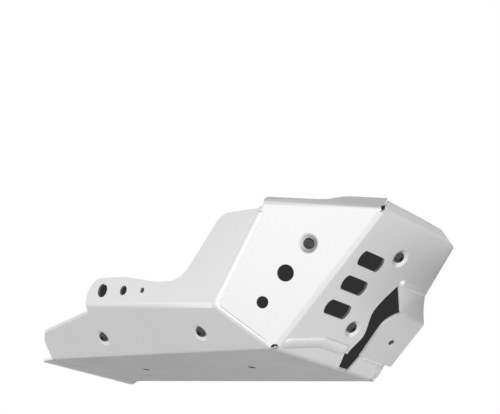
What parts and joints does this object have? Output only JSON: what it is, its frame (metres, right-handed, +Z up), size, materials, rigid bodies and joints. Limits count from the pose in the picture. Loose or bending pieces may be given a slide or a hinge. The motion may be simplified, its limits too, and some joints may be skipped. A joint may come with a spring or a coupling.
{
  "type": "motorcycle skid plate",
  "caption": "Folded aluminium skid plate for a motorcycle's engine: a tapered pan with raised sides and a welded slanted front with slots, an exhaust bridge and screws in pressed seats.",
  "frame": {"origin": "centre of the footprint, level with the lowest edge of the rear lip", "axes": "+X forward along the motorcycle, +Y to its left, +Z up"},
  "size_m": [0.5114, 0.2608, 0.1619],
  "materials": {
    "sheet": "bare satin sheet",
    "weld": "dressed weld bead",
    "screw": "black oxide, satin"
  },
  "bodies": {
    "root": {"lower_pan": "sheet", "front_shell": "sheet", "exhaust_bridge": "sheet", "wing_welds": "weld", "chin_weld": "weld", "bridge_welds": "weld", "screws": "screw"}
  },
  "joints": []
}
